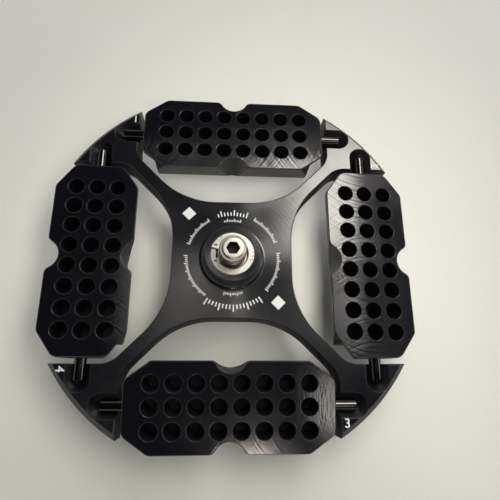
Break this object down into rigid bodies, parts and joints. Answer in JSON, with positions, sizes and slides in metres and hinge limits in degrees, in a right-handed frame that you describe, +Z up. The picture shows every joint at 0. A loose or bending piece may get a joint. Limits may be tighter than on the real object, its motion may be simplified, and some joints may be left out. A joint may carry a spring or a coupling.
{
  "type": "swing-bucket centrifuge rotor",
  "caption": "Cross-shaped centrifuge rotor whose drilled strip-tube buckets swing on pins in open slots, with a captive hex nut that holds it on the drive shaft.",
  "frame": {"origin": "centre of the shaft bore at the foot face, on which the rotor stands", "axes": "+Z up along the drive axis; +X to the right and +Y to the back as seen from the front bucket; the buckets hang at +Y, +X, -Y and -X"},
  "size_m": [0.157, 0.1574, 0.052],
  "materials": {
    "anodised_black": "black anodised, satin, with fine milling marks",
    "black_steel": "black polished steel",
    "stainless": "bright turned stainless steel"
  },
  "bodies": {
    "rotor": {"rotor_cross": "anodised_black", "retaining_ring": "stainless", "nut_washer": "stainless"},
    "nut": {"rotor_nut": "stainless"},
    "bucket_1": {"bucket_1": "anodised_black", "bucket_1_pin_left": "black_steel", "bucket_1_pin_right": "black_steel"},
    "bucket_2": {"bucket_2": "anodised_black", "bucket_2_pin_left": "black_steel", "bucket_2_pin_right": "black_steel"},
    "bucket_3": {"bucket_3": "anodised_black", "bucket_3_pin_left": "black_steel", "bucket_3_pin_right": "black_steel"},
    "bucket_4": {"bucket_4": "anodised_black", "bucket_4_pin_left": "black_steel", "bucket_4_pin_right": "black_steel"}
  },
  "joints": [
    {"name": "nut_spin", "type": "hinge", "parent": "rotor", "child": "nut", "pos_m": [0, 0, 0.03865], "axis": [0, 0, 1], "continuous": true},
    {"name": "bucket_1_swing", "type": "hinge", "parent": "rotor", "child": "bucket_1", "pos_m": [0, 0.0606, 0.0338], "axis": [1, 0, 0], "range_deg": [-9.56, 92.44]},
    {"name": "bucket_2_swing", "type": "hinge", "parent": "rotor", "child": "bucket_2", "pos_m": [0.0606, 0, 0.0338], "axis": [0, -1, 0], "range_deg": [-8.42, 93.58]},
    {"name": "bucket_3_swing", "type": "hinge", "parent": "rotor", "child": "bucket_3", "pos_m": [0, -0.0606, 0.0338], "axis": [-1, 0, 0], "range_deg": [-3.57, 98.43]},
    {"name": "bucket_4_swing", "type": "hinge", "parent": "rotor", "child": "bucket_4", "pos_m": [-0.0606, 0, 0.0338], "axis": [0, 1, 0], "range_deg": [-14.69, 87.31]}
  ]
}
